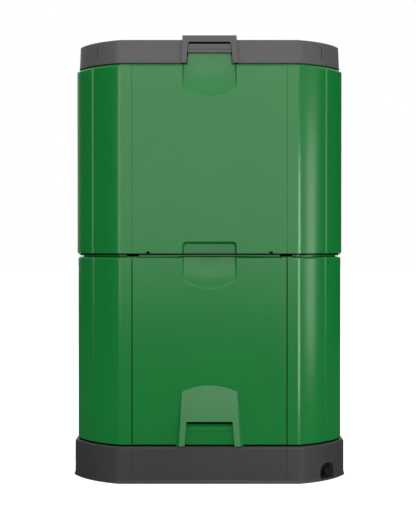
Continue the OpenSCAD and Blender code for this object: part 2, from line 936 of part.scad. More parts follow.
// A bar along one hinge, drawn at the front: from x0 to x1 beside each hinge's middle
module hinge_bar(x0, x1, r) {
  for (side = [-1, 1])
    translate([side * hinge_x + x0, -hinge_y, hinge_z])
      rotate([0, 90, 0]) cylinder(x1 - x0, r = r);
}

module hinge_block(x0, x1, near, far, z0, z1) {
  for (side = [-1, 1])
    translate([side * hinge_x + x0, -half_w + near, z0]) cube([x1 - x0, far - near, z1 - z0]);
}

module upper_rear() {
  difference() {
    union() {
      difference() {
        union() {
          upper_scooped_skin();
          hinge_block(-half_l - skin_t - over, half_l + skin_t + over, edge_r + over, hinge_back,
                      upper_top - 4 * skin_t, upper_top - fit);
        }
        hinge_bar(-half_l - over / 2, half_l + over / 2, knuckle_r + over);
      }
      for (x0 = [-1.5 * knuckle_l, half_l + fit]) {
        hinge_bar(x0, x0 + knuckle_l - fit, knuckle_r);
        hinge_block(x0, x0 + knuckle_l - fit, -hinge_in, knuckle_r, upper_top - 2 * knuckle_r, hinge_z);
      }
    }
    hinge_bar(-2 * knuckle_l, 2 * knuckle_l, hinge_r + pin_clear);
  }
}

module clip_row() {
  for (side = [-1, 1])
    translate([side * clip_x - clip_len / 2 + fit, -half_w + leg_in + clip_d - clip_t,
               seam_z - clip_h / 2 + fit])
      cube([clip_len - 2 * fit, clip_t, clip_h - 2 * fit]);
}

module upper_front_foam() {
  difference() {
    upper_foam();
    scoop_foam_cuts();
    front_block(scoop_half + skin_t + fit, 0, scoop_back, lid_scoop_z - scoop_circle, upper_top);
    upper_front_inner(fit);
  }
}

module upper_front_liner() {
  difference() {
    upper_liner();
    upper_front_inner(fit);
  }
}

module upper_rear_foam() {
  difference() {
    upper_foam();
    scoop_foam_cuts();
    hinge_block(-3 * half_l - 2 * over, 3 * half_l + 2 * over, 0, hinge_back + fit,
                upper_top - 2 * knuckle_r - over, upper_top);
  }
}

// Clips in the seam and the half-round stops in the drain marks
module tier_clips() {
  color(black) {
    for (turn = [FRONT, RIGHT, REAR, LEFT]) rotate(turn) clip_row();
    front_and_back() intersection() {
      drain_marks(fit, 2 * fit, drain_d - fit);
      front_block(half_w, 0, drain_d, upper_z + fit, upper_z + drain_r);
    }
  }
}

module door_pins() {
  color(black) front_and_back() for (side = [-1, 1])
    translate([side * (door_half + door_gap / 2), -pivot_y, pivot_z])
      rotate([0, 90, 0]) cylinder(2 * pin_reach, r = pivot_r, center = true);
}

module lid_hinge_pins() {
  color(steel) rotate(REAR) hinge_bar(-1.5 * knuckle_l, 1.5 * knuckle_l, hinge_r);
}

// Doors

module door_slab(step) {
  intersection() {
    rotate([90, 0, 90]) linear_extrude(2 * door_half, center = true)
      side_profile(door_face, door_face, door_foot, door_top, edge_r);
    front_block(door_half + over, -over, step + door_depth, door_foot - over, door_top + over);
  }
}

module door_skin() {
  low = seam_scoop_z - scoop_circle - air;
  pocket_half = pull_open_half - over;
  foot = lower_z;
  difference() {
    union() {
      difference() {
        door_slab(lower_step);
        front_block(door_half - skin_t, lower_step + skin_t, wall_t,
                    door_foot + skin_t, door_top - skin_t);
      }
      scoop_shell(seam_scoop_z, lower_step, low, door_top - fit);
      front_block(pocket_half + skin_t, lower_step + over, lower_step + pocket_d + skin_t,
                  foot + pocket_low, foot + pocket_high + skin_t);
      pin_bosses(door_half - pin_reach - boss_t, door_half - fit, lower_step + over,
                 lower_step + door_depth);
    }
    scoop_cut(seam_scoop_z, lower_step, low, door_top + air);
    rotate([90, 0, 90]) linear_extrude(2 * pocket_half, center = true) pocket_side();
    pin_bores();
    pull_pegs(fit);
  }
  translate([0, -door_face + 2 * fit, bead_z]) rotate([0, 90, 0])
    cylinder(2 * pocket_half, r = pocket_bead_r, center = true);
}

// Side view of the finger pocket, which slopes in from the door's face
module pocket_side() {
  low = lower_z + pocket_low;
  high = lower_z + pocket_high;
  rise = pocket_slope / pocket_d;
  polygon([[-door_face - over, low - rise], [-door_face + pocket_d, low + pocket_slope],
           [-door_face + pocket_d, high], [-door_face - over, high]]);
}

// Pegs that hold the pull on its door
module pull_pegs(grow) {
  for (side = [-1, 1], z = [peg_low, peg_high])
    translate([side * (pull_half - peg_in), -door_face + peg_l, lower_z + z])
      rotate([90, 0, 0]) cylinder(peg_l + over / 2 + grow, r = peg_r + grow);
}

module door_liner() {
  back = lower_step + door_depth;
  difference() {
    union() {
      front_block(door_half - skin_t - fit, back - liner_t, back,
                  door_foot + skin_t + fit, door_top - skin_t - fit);
      front_block(plug_half, back - over, wall_t, sill_z + plug_gap, head_z - plug_gap);
    }
    front_block(plug_half - liner_t, back - liner_t - over, wall_t - liner_t,
                sill_z + plug_gap + liner_t, head_z - plug_gap - liner_t);
    front_block(scoop_half + skin_t + fit, 0, lower_step + scoop_back,
                seam_scoop_z - scoop_circle, door_top);
    pin_bosses(door_half - pin_reach - boss_t - fit, door_half, 0, wall_t);
  }
}

module door_foam() {
  back = lower_step + door_depth;
  tray = skin_t + fit;
  foot = lower_z;
  difference() {
    union() {
      front_block(door_half - tray, lower_step + tray, back - liner_t - fit,
                  door_foot + tray, door_top - tray);
      front_block(plug_half - liner_t - fit, back - liner_t - over, wall_t - liner_t - fit,
                  sill_z + plug_gap + liner_t + fit, head_z - plug_gap - liner_t - fit);
    }
    front_block(scoop_half + skin_t + fit, 0, lower_step + scoop_back,
                seam_scoop_z - scoop_circle, door_top);
    front_block(pull_open_half + skin_t, 0, lower_step + pocket_d + skin_t + fit,
                foot + pocket_low - tray, foot + pocket_high + tray);
    pin_bosses(door_half - pin_reach - boss_t - fit, door_half, 0, wall_t);
    pull_pegs(1);
  }
}

function pull_front(z) =
  door_face + pull_top_d + (pull_d - pull_top_d) * (pull_top - z) / (pull_top - lower_z);

// Side view of the pull, whose face slopes out towards its foot, drawn in by inset
module pull_side(inset, z0, z1) {
  rotate([90, 0, 90]) linear_extrude(3 * pull_half, center = true)
    polygon([[-door_face + over, z0], [inset - pull_front(z0), z0],
             [inset - pull_front(z1), z1], [-door_face + over, z1]]);
}

module pull_outline() {
  arch = (pow(pull_half, 2) + pow(pull_arch, 2)) / (2 * pull_arch);
  intersection() {
    translate([-2 * pull_foot_half, door_foot - pull_hang]) square([4 * pull_foot_half, pull_top]);
    translate([0, pull_top - arch]) circle(arch, $fn = 180);
  }
}

// What lies outside the pull's sloping sides
module pull_flanks() {
  out_of_door = pull_front(pull_top - pull_arch) - door_face;
  upper_half = pull_half - (pull_d - out_of_door) * pull_flare / pull_d;
  lean = atan2(pull_foot_half - upper_half, pull_shoulder);
  flare = atan2(pull_flare, pull_d);
  for (side = [0, 1])
    mirror([side, 0, 0]) translate([pull_foot_half, -door_face - pull_d, lower_z])
      rotate([0, -lean, 0]) rotate(-flare) translate([0, -wall_w, -wall_w]) cube(2 * wall_w);
}

module door_pull() {
  difference() {
    intersection() {
      translate([0, -door_face - fit / 3, 0]) rotate([90, 0, 0])
        linear_extrude(pull_d + over) pull_outline();
      pull_side(0, lower_z - 2 * air, pull_top + air);
    }
    pull_flanks();
    translate([0, -door_face + over, 0]) rotate([90, 0, 0]) linear_extrude(pull_d + 3 * over)
      side_profile(pull_open_half + pull_open_draft, pull_open_half, lower_z - air, mouth_z,
                   pull_mouth_r);
    intersection() {
      pull_side(pull_t, mouth_z - air, lower_z + pocket_high + skin_t);
      front_block(pull_half - 2 * peg_in, lower_step - pull_d, lower_step + over, lower_z, pull_top);
    }
  }
  pull_pegs(0);
}

// Base

module pillar_row() {
  for (x = [-pillar_pitch, 0, pillar_pitch], y = [-pillar_pitch, 0, pillar_pitch])
    translate([x, y, base_t - over]) cylinder(grate_z - fit - base_t + over, r = pillar_r);
}

// Everything at the tap is drawn along +X and turned to the right front corner
module at_tap() {
  rotate(-45) children();
}

module arch(grow) {
  half = arch_w / 2 + grow;
  side_profile(half, half, base_t - grow, arch_h + grow, arch_r + grow);
}

module arch_tunnel(grow, x0, x1) {
  translate([x0, 0, 0]) rotate([90, 0, 90]) linear_extrude(x1 - x0) arch(grow);
}

module foot_notches() {
  for (side = [0, 1])
    mirror([side, 0, 0])
      translate([recess_half - over, -half_w - 2 * lip_out, lip_h - over])
        cube([foot_notch_w, 2 * lip_out - skirt_out + 2 * recess_d, foot_notch_h]);
}

module base_tank() {
  color(dark_grey) difference() {
    union() {
      difference() {
        union() {
          drafted_block(-skirt_out, -skirt_out, 0, base_h, rim_r);
          drafted_block(-lip_out, -skirt_out + fit, 0, lip_h, 0);
        }
        up(base_t, base_h + over) plan(wall_t + over + base_t);
        up(ledge_z, base_h + over) plan(leg_in - fit);
        up(-over, ledge_z - base_t) ring(base_t - skirt_out, wall_t + over);
        up(-over, base_h - base_t) ring(base_t - skirt_out, leg_in - fit - base_t);
        front_and_back() {
          front_block(recess_half, -2 * lip_out, -skirt_out + recess_d, lip_h + 2 * over, base_h + over);
          foot_notches();
          panel_lines(half_w + skirt_out, lip_h, base_h + over);
        }
      }
      up(ledge_z - over, ledge_z + tongue_h) ring(tongue_in, tongue_in + tongue_t);
      pillar_row();
      at_tap() arch_tunnel(base_t, pocket_back - base_t, skirt_corner - base_t / 2);
    }
    at_tap() {
      arch_tunnel(0, pocket_back, skirt_corner + 2 * lip_out);
      translate([pocket_back - 3 * base_t, tap_side, tap_z])
        rotate([0, 90, 0]) cylinder(4 * base_t, r = tap_r + fit);
    }
  }
}

module front_and_back() {
  for (turn = [FRONT, REAR]) rotate(turn) children();
}

module rounded_rect(w, d, r) {
  difference() {
    square([w, d], center = true);
    for (turn = [0, 180], flip = [0, 1])
      rotate(turn) mirror([flip, 0]) translate([w / 2 - r, d / 2 - r]) difference() {
        square(r + over);
        circle(r);
      }
  }
}

module lung_outline(inset) {
  rounded_rect(lung_w - 2 * inset, lung_d - 2 * inset, lung_r - inset);
}

module drain_grate() {
  pitch_x = slot_l + slot_bar;
  keep_x = lung_w / 2 + slot_l / 2 + slot_w;
  keep_y = lung_d / 2 + 2 * slot_w;
  corner_limit = corner_c * sqrt(2) + corner_r;
  color(black) difference() {
    up(grate_z, grate_top) plan(wall_t + base_t + 3 * over);
    up(grate_z - over, grate_top + over) lung_outline(lung_rim);
    for (i = [-4 : 3], j = [-6 : 6]) {
      x = (i + 0.5) * pitch_x;
      y = j * slot_pitch;
      if ((abs(x) > keep_x || abs(y) > keep_y) && abs(x) + abs(y) < corner_limit)
        translate([x - slot_l / 2, y - slot_w / 2, grate_z - over])
          cube([slot_l, slot_w, grate_t + 2 * over]);
    }
  }
}

module lung_foot() {
  color(black) {
    up(grate_top, grate_top + flange_t) difference() {
      lung_outline(-flange_w);
      lung_outline(lung_rim);
    }
    up(grate_top + flange_t - over, grate_top + collar_h) difference() {
      lung_outline(-fit - lung_t);
      lung_outline(-fit);
    }
  }
}

module lung_half() {
  rows = floor((lung_h - 70) / vent_pitch);
  columns = 4;
  column_pitch = (lung_w - 40) / columns;
  color(black) difference() {
    up(lung_z + flange_t, lung_top) intersection() {
      difference() {
        lung_outline(0);
        lung_outline(lung_t);
      }
      translate([-lung_w, -lung_d - fit / 2]) square([2 * lung_w, lung_d]);
    }
    for (row = [0 : rows - 1], column = [0 : columns - 1])
      translate([(column - (columns - 1) / 2) * column_pitch - vent_w / 2, -lung_d / 2 - over,
                 lung_z + 40 + row * vent_pitch])
        cube([vent_w, lung_t + 2 * over, vent_h]);
  }
}

module lung_cap() {
  cap_foot = lung_top - cap_h;
  color(black) difference() {
    up(cap_foot, lung_top + fit + lung_t) lung_outline(-fit - lung_t);
    up(cap_foot - over, lung_top + fit) lung_outline(-fit);
    for (i = [-3 : 3], y = [-lung_d / 4, lung_d / 4 - vent_h])
      translate([i * cap_pitch - cap_slot_l / 2, y, lung_top - over])
        cube([cap_slot_l, vent_h, 2 * air]);
  }
}

// Tap

module along_tap(x0, x1, r) {
  translate([x0, tap_side, tap_z]) rotate([0, 90, 0]) cylinder(x1 - x0, r = r);
}

module tap_body() {
  flange_x = pocket_back + seal_t + 2 * fit;
  color(black) at_tap() difference() {
    union() {
      along_tap(pocket_back - base_t - tail_l, spigot_x, tap_r);
      along_tap(flange_x, flange_x + tap_flange_t, tap_r + 5);
      along_tap(spigot_x - over, tap_tip, spigot_r);
      translate([stem_x, tap_side, tap_z]) cylinder(stem_top - tap_z, r = stem_r);
    }
    along_tap(pocket_back - base_t - tail_l - over, tap_tip + over, water_r);
    translate([stem_x, tap_side, tap_z]) cylinder(2 * (stem_top - tap_z), r = plug_r + pin_clear);
  }
}

module tap_seal() {
  color(black) at_tap() difference() {
    along_tap(pocket_back + fit, pocket_back + fit + seal_t, tap_r + 4);
    along_tap(pocket_back - over, pocket_back + 2 * seal_t, tap_r + fit / 2);
  }
}

module tap_nut() {
  color(black) at_tap() difference() {
    translate([pocket_back - base_t - nut_t - fit, tap_side, tap_z])
      rotate([0, 90, 0]) cylinder(nut_t, r = tap_r + 7, $fn = 6);
    along_tap(pocket_back - base_t - 2 * nut_t, pocket_back, tap_r + fit / 2);
  }
}

module tap_lever() {
  lever_z = stem_top + fit;
  stem_foot = tap_z + water_r + over / 2;
  color(black) at_tap() translate([stem_x, tap_side, 0]) {
    translate([0, 0, stem_foot]) cylinder(lever_z + over - stem_foot, r = plug_r);
    translate([0, 0, lever_z]) cylinder(lever_t, r = stem_r + over / 2);
    translate([0, -lever_w / 2, lever_z]) cube([lever_l, lever_w, lever_t]);
  }
}

// Lid

function mouth_at(z) =
  mouth_foot_half + (mouth_half - mouth_foot_half) * (z - lid_z) / (mouth_top - lid_z);

// A slice of the hood's outline between two depths from the wall face and two heights
module hood_part(near, far, z0, z1) {
  intersection() {
    translate([0, -half_w + far, 0]) rotate([90, 0, 0]) linear_extrude(far - near)
      side_profile(hood_foot_half, hood_half, lid_z, hood_top, 3);
    front_block(hood_foot_half + over, near - over, far + over, z0, z1);
  }
}

module hood() {
  face_in = half_w - hood_face;
  hood_part(face_in, leg_in - 2, lid_z, lid_seat + over);
  hood_part(face_in, pocket_in + skin_t, lid_seat, lid_top);
  intersection() {
    hood_part(face_in, hood_back, lid_top - skin_t, hood_top);
    rotate([90, 0, 90]) linear_extrude(4 * hood_half, center = true)
      polygon([[-hood_face, lid_top - 2 * air], [-hood_face, hood_top - hood_drop],
               [hood_bevel - hood_face, hood_top - hood_drop / 2],
               [hood_crest - hood_face, hood_top], [-half_w + hood_back, lid_top + 4],
               [-half_w + hood_back, lid_top - 2 * air]]);
  }
}

module crown(inset, drop) {
  drafted_block(lid_top_in + crown_in + inset, crown_flat_in + inset, lid_top - over - drop,
                lid_top + crown_h - drop, 0);
}

// Two slits in the lid's front, between which its front edge is cut lower
module lid_lines() {
  edge_half = hood_foot_half + past;
  for (side = [0, 1])
    mirror([side, 0, 0]) {
      translate([panel_half - line_w / 2, -half_w, lid_z + slit_up])
        cube([line_w, lid_foot_in + line_d, lid_h]);
      translate([edge_half, -half_w, lid_top - edge_drop])
        cube([panel_half - edge_half, lid_top_in + 1.8, 2 * edge_drop]);
    }
}

// A short slit with a hook at its top, near each corner of the lid
module corner_slit() {
  foot = lid_z + slit_up;
  hook = 3 * slit_w / 2;
  translate([corner_c, -corner_c, 0]) rotate(slit_turn)
    translate([0, slit_d - corner_r + lid_top_in, 0]) rotate([90, 0, 0])
      linear_extrude(2 * lid_top_in)
        polygon([[-slit_w / 2, foot], [slit_w / 2, foot], [slit_w / 2, foot + slit_h],
                 [slit_w / 2 + hook, foot + slit_h + hook], [slit_w / 2, foot + slit_h + hook],
                 [-slit_w / 2, foot + slit_h + slit_w]]);
}

module corner_slits() {
  front_and_back() for (side = [0, 1]) mirror([side, 0, 0]) corner_slit();
}

module lid_shell() {
  color(lid_grey) difference() {
    union() {
      difference() {
        union() {
          drafted_block(lid_foot_in, lid_top_in, lid_z, lid_top, lid_edge_r);
          drafted_block(lid_foot_in - lid_lip_d, lid_foot_in - lid_lip_d, lid_z, lid_z + lid_lip_h, 0);
          crown(0, 0);
        }
        drafted_block(lid_foot_in + skin_t, lid_top_in + skin_t, lid_z - over, lid_top - skin_t, 0);
        crown(skin_t, skin_t);
        front_and_back() lid_lines();
        corner_slits();
        rotate(REAR) {
          hinge_bar(-3 * half_l - over / 2, -half_l, knuckle_r + over);
          hinge_bar(half_l, 3 * half_l + over / 2, knuckle_r + over);
        }
      }
      hood();
      rotate(REAR) {
        hinge_bar(-half_l + fit, half_l - fit, knuckle_r);
        hinge_block(-half_l + fit, half_l - fit, 0, lid_foot_in + skin_t,
                    hinge_z, lid_z + knuckle_r + 2 * skin_t);
      }
    }
    translate([0, -half_w + pocket_in, 0]) rotate([90, 0, 0]) linear_extrude(2 * pocket_in)
      side_profile(mouth_foot_half, mouth_half, lid_z - 0.01, mouth_top, mouth_r);
    rotate(REAR) hinge_bar(-knuckle_l, knuckle_l, hinge_r + pin_clear);
    latch_rod(mouth_half + stub_l + fit, stub_r + pin_clear);
  }
}

module lid_liner() {
  color(black) difference() {
    union() {
      up(lid_seat, plate_top) plan(lid_top_in + skin_t + fit);
      up(plug_z, plate_top) plan(plug_in);
    }
    up(plug_z + liner_t, plate_top + over) plan(plug_in + liner_t);
    front_block(hood_foot_half + fit, 0, pocket_in + skin_t + fit, lid_seat - over,
                plate_top + over);
  }
}

module lid_foam() {
  color(foam_white) difference() {
    union() {
      up(plate_top + fit, lid_top - skin_t - fit) plan(lid_top_in + skin_t + 2 * fit);
      up(plug_z + liner_t + fit, plate_top + over) plan(plug_in + liner_t + fit);
      crown(skin_t + fit, skin_t + fit);
    }
    front_block(hood_foot_half + fit, 0, pocket_in + skin_t + fit, lid_seat - over, hood_top);
    front_block(hood_foot_half + fit, 0, hood_back + fit, lid_top - skin_t - fit, hood_top);
  }
}

// Latch in the hood's mouth

module latch_rod(half, r) {
  translate([0, -half_w + rod_in, rod_z]) rotate([0, 90, 0]) cylinder(2 * half, r = r, center = true);
}

module lid_latch() {
  back = plate_in + latch_t;
  catch_near = tab_in + skin_t + fit;
  low_half = mouth_at(latch_z) - latch_side;
  high_half = mouth_at(latch_top) - latch_side;
  color(lid_grey) difference() {
    union() {
      translate([0, -half_w + back, 0]) rotate([90, 0, 0]) linear_extrude(latch_t)
        polygon([[-low_half, latch_z], [low_half, latch_z],
                 [high_half, latch_top], [-high_half, latch_top]]);
      latch_rod(mouth_half + stub_l, stub_r);
      front_block(catch_half, back - over, catch_near + catch_t, latch_z, latch_z + latch_t);
      front_block(catch_half, catch_near, catch_near + catch_t, latch_z - catch_h, latch_z + latch_t);
    }
    front_block(2 * mouth_half, 0, plate_in + 2, rod_z - 1.1, rod_z + 1.1);
  }
}

base_tank();
drain_grate();
tap_body();
tap_seal();
tap_nut();
tap_lever();
lung_foot();
lung_half();  // lung_front_shell
rotate(REAR) lung_half();  // lung_rear_shell
lung_cap();
color(green) frame_skin();  // lower_front_frame
color(foam_white) frame_foam();  // lower_front_foam
color(black) frame_liner();  // lower_front_liner
color(green) rotate(REAR) frame_skin();  // lower_rear_frame
color(foam_white) rotate(REAR) frame_foam();  // lower_rear_foam
color(black) rotate(REAR) frame_liner();  // lower_rear_liner
color(green) rotate(LEFT) lower_skin();  // lower_left_skin
color(foam_white) rotate(LEFT) lower_foam();  // lower_left_foam
color(black) rotate(LEFT) lower_liner();  // lower_left_liner
color(green) rotate(RIGHT) lower_skin();  // lower_right_skin
color(foam_white) rotate(RIGHT) lower_foam();  // lower_right_foam
color(black) rotate(RIGHT) lower_liner();  // lower_right_liner
color(green) upper_front();  // upper_front_skin
color(foam_white) upper_front_foam();
color(black) upper_front_liner();
color(green) rotate(REAR) upper_rear();  // upper_rear_skin
color(foam_white) rotate(REAR) upper_rear_foam();
color(black) rotate(REAR) upper_liner();  // upper_rear_liner
color(green) rotate(LEFT) upper_skin();  // upper_left_skin
color(foam_white) rotate(LEFT) upper_foam();  // upper_left_foam
color(black) rotate(LEFT) upper_liner();  // upper_left_liner
color(green) rotate(RIGHT) upper_skin();  // upper_right_skin
color(foam_white) rotate(RIGHT) upper_foam();  // upper_right_foam
color(black) rotate(RIGHT) upper_liner();  // upper_right_liner
tier_clips();
door_pins();
lid_hinge_pins();
color(green) door_skin();  // front_door_skin
color(foam_white) door_foam();  // front_door_foam
color(black) door_liner();  // front_door_liner
color(green) door_pull();  // front_door_pull
color(green) rotate(REAR) door_skin();  // rear_door_skin
color(foam_white) rotate(REAR) door_foam();  // rear_door_foam
color(black) rotate(REAR) door_liner();  // rear_door_liner
color(green) rotate(REAR) door_pull();  // rear_door_pull
lid_shell();
lid_foam();
lid_liner();
lid_latch();
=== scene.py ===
import math

import bpy
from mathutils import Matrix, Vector
from mathutils.bvhtree import BVHTree


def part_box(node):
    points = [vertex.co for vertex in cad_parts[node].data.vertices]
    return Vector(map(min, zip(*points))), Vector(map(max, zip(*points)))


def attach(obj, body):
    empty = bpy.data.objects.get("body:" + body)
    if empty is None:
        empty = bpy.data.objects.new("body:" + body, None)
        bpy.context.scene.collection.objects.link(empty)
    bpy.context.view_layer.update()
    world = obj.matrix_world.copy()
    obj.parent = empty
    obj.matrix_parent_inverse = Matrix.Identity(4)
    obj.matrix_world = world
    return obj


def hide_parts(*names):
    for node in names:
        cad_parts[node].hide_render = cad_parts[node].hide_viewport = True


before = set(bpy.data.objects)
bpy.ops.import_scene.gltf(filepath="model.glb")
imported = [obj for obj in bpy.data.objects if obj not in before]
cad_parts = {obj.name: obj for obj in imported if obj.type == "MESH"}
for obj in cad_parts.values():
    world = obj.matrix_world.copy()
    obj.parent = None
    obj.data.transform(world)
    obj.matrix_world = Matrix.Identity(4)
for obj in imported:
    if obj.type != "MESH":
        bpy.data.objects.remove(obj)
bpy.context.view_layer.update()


# Studio
# The bin stands on a plain white floor in front of a white room, under soft boxes that draw
# the highlights along its rounded corners. None of it belongs to the bin.

camera_left = 0.004
camera_height = 0.626
camera_distance = 3.0
camera_tilt = math.radians(0.63)
front_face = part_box("upper_front_skin")[0].y

bpy.ops.object.camera_add(
    location=(-camera_left, front_face - camera_distance, camera_height),
    rotation=(math.pi / 2 - camera_tilt, 0, 0),
)
camera = bpy.context.object
camera.data.lens = 79.7
camera.data.sensor_width = 36
bpy.context.scene.camera = camera
bpy.context.scene.view_settings.view_transform = "Standard"


def hang(thing, azimuth, elevation, distance):
    """Hangs a lamp or a card so that it faces the middle of the bin; azimuth 90 is on its right."""
    aim = Vector((0, 0, 0.62))
    side = math.radians(azimuth)
    rise = math.radians(elevation)
    offset = Vector((math.sin(side) * math.cos(rise), -math.cos(side) * math.cos(rise),
                     math.sin(rise))) * distance
    thing.location = aim + offset
    thing.rotation_euler = offset.to_track_quat("Z", "Y").to_euler()
    thing.visible_camera = False


def soft_box(name, width, height, radiance, azimuth, elevation, distance, sheen_only=False):
    """A flat lamp with even light over its whole face; some only draw a sheen."""
    bpy.ops.object.light_add(type="AREA")
    lamp = bpy.context.object
    lamp.name = name
    lamp.data.shape = "RECTANGLE"
    lamp.data.size = width
    lamp.data.size_y = height
    lamp.data.energy = radiance * math.pi * width * height
    hang(lamp, azimuth, elevation, distance)
    lamp.visible_diffuse = not sheen_only


soft_box("front_box", 3.2, 1.9, radiance=2.35, azimuth=0, elevation=7.9, distance=4.7)
soft_box("left_strip", 1.6, 1.9, radiance=3.9, azimuth=-31, elevation=9, distance=4.2,
         sheen_only=True)
soft_box("right_strip", 0.55, 1.0, radiance=13.0, azimuth=29, elevation=-3.6, distance=1.93,
         sheen_only=True)
soft_box("side_strip", 0.9, 1.3, radiance=6.0, azimuth=64, elevation=0, distance=3.8)
soft_box("brow_box", 1.6, 0.54, radiance=1.8, azimuth=0, elevation=33.6, distance=1.63,
         sheen_only=True)
soft_box("top_box", 2.4, 2.4, radiance=1.0, azimuth=0, elevation=86, distance=2.8)
soft_box("rear_box", 2.6, 1.8, radiance=2.0, azimuth=180, elevation=22, distance=4.2)

# Black cards that only reflections see keep the corners and the sides dark.
card_height = 4.5
card_distance = 5.0
card_paint = bpy.data.materials.new("card_paint")
card_paint.use_nodes = True
shader = card_paint.node_tree.nodes["Principled BSDF"]
shader.inputs["Base Color"].default_value = (0.01, 0.01, 0.01, 1)
shader.inputs["Specular IOR Level"].default_value = 0
for name, azimuth, width in (("left_card", -92, 8.0), ("right_card", 112, 6.6)):
    bpy.ops.mesh.primitive_plane_add(size=1)
    card = bpy.context.object
    card.name = name
    card.scale = (width, card_height, 1)
    hang(card, azimuth, 0, card_distance)
    card.visible_diffuse = False
    card.visible_shadow = False
    card.data.materials.append(card_paint)

# The room is white to the eye and in reflections, and lights the bin a little less than white.
room_light = 0.95
world = bpy.data.worlds.new("white_room")
bpy.context.scene.world = world
world.use_nodes = True
sky = world.node_tree.nodes
wires = world.node_tree.links
sky.clear()
ambient = sky.new("ShaderNodeBackground")
ambient.inputs["Color"].default_value = (1, 1, 1, 1)
ambient.inputs["Strength"].default_value = room_light
white = sky.new("ShaderNodeBackground")
white.inputs["Color"].default_value = (1, 1, 1, 1)
white.inputs["Strength"].default_value = 1
path = sky.new("ShaderNodeLightPath")
seen_or_mirrored = sky.new("ShaderNodeMath")
seen_or_mirrored.operation = "MAXIMUM"
seen_through = sky.new("ShaderNodeMath")
seen_through.operation = "MAXIMUM"
choose = sky.new("ShaderNodeMixShader")
out = sky.new("ShaderNodeOutputWorld")
wires.new(path.outputs["Is Camera Ray"], seen_or_mirrored.inputs[0])
wires.new(path.outputs["Is Glossy Ray"], seen_or_mirrored.inputs[1])
wires.new(seen_or_mirrored.outputs[0], seen_through.inputs[0])
wires.new(path.outputs["Is Transmission Ray"], seen_through.inputs[1])
wires.new(seen_through.outputs[0], choose.inputs["Fac"])
wires.new(ambient.outputs[0], choose.inputs[1])
wires.new(white.outputs[0], choose.inputs[2])
wires.new(choose.outputs[0], out.inputs["Surface"])

# The floor glows for the eye alone, keeps the bin's shadow, and is dark in its reflections.
floor_grey = 0.42
mirrored_grey = 0.03
floor_glow = 0.86
bpy.ops.mesh.primitive_plane_add(size=60, location=(0, 0, -0.0005))
floor = bpy.context.object
floor.name = "floor"
floor_paint = bpy.data.materials.new("floor_paint")
floor_paint.use_nodes = True
shader = floor_paint.node_tree.nodes["Principled BSDF"]
shader.inputs["Roughness"].default_value = 0.9
shader.inputs["Emission Color"].default_value = (1, 1, 1, 1)
lit = floor_paint.node_tree.nodes.new("ShaderNodeLightPath")
mirrored = floor_paint.node_tree.nodes.new("ShaderNodeMix")
mirrored.data_type = "RGBA"
mirrored.inputs["A"].default_value = (floor_grey, floor_grey, floor_grey, 1)
mirrored.inputs["B"].default_value = (mirrored_grey, mirrored_grey, mirrored_grey, 1)
floor_paint.node_tree.links.new(lit.outputs["Is Glossy Ray"], mirrored.inputs["Factor"])
floor_paint.node_tree.links.new(mirrored.outputs["Result"], shader.inputs["Base Color"])
glow = floor_paint.node_tree.nodes.new("ShaderNodeMath")
glow.operation = "MULTIPLY"
glow.inputs[1].default_value = floor_glow
floor_paint.node_tree.links.new(lit.outputs["Is Camera Ray"], glow.inputs[0])
floor_paint.node_tree.links.new(glow.outputs[0], shader.inputs["Emission Strength"])
floor.data.materials.append(floor_paint)


# Base
# One large injection moulding in dark grey that collects the liquid. Its mould has a fine
# spark-eroded grain, so it looks dull.

def moulded_plastic(name, colour, roughness, specular, grain, mottling):
    """Moulded plastic: a fine pebbled grain, faint cloudy shade, and patches of gloss."""
    gloss_spread = 0.05
    grain_depth = 0.0004
    plastic = bpy.data.materials.new(name)
    plastic.use_nodes = True
    nodes = plastic.node_tree.nodes
    links = plastic.node_tree.links
    shader = nodes["Principled BSDF"]
    shader.inputs["Specular IOR Level"].default_value = specular
    place = nodes.new("ShaderNodeTexCoord")

    clouds = nodes.new("ShaderNodeTexNoise")
    clouds.inputs["Scale"].default_value = 5
    clouds.inputs["Detail"].default_value = 4
    links.new(place.outputs["Object"], clouds.inputs["Vector"])
    shade = nodes.new("ShaderNodeValToRGB")
    shade.color_ramp.elements[0].position = 0.3
    shade.color_ramp.elements[1].position = 0.7
    shade.color_ramp.elements[0].color = (*[c * (1 - mottling) for c in colour], 1)
    shade.color_ramp.elements[1].color = (*[c * (1 + mottling) for c in colour], 1)
    links.new(clouds.outputs["Fac"], shade.inputs["Fac"])
    links.new(shade.outputs["Color"], shader.inputs["Base Color"])

    smears = nodes.new("ShaderNodeTexNoise")
    smears.inputs["Scale"].default_value = 23
    smears.inputs["Detail"].default_value = 6
    smears.inputs["Roughness"].default_value = 0.65
    links.new(place.outputs["Object"], smears.inputs["Vector"])
    gloss = nodes.new("ShaderNodeMapRange")
    gloss.inputs["To Min"].default_value = roughness - gloss_spread
    gloss.inputs["To Max"].default_value = roughness + gloss_spread
    links.new(smears.outputs["Fac"], gloss.inputs["Value"])
    links.new(gloss.outputs["Result"], shader.inputs["Roughness"])

    pebbles = nodes.new("ShaderNodeTexNoise")
    pebbles.inputs["Scale"].default_value = 650
    pebbles.inputs["Detail"].default_value = 3
    links.new(place.outputs["Object"], pebbles.inputs["Vector"])
    relief = nodes.new("ShaderNodeBump")
    relief.inputs["Strength"].default_value = grain
    relief.inputs["Distance"].default_value = grain_depth
    links.new(pebbles.outputs["Fac"], relief.inputs["Height"])
    links.new(relief.outputs["Normal"], shader.inputs["Normal"])
    return plastic


def finish_node(node, material):
    """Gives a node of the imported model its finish."""
    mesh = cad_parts[node].data
    mesh.materials.clear()
    mesh.materials.append(material)


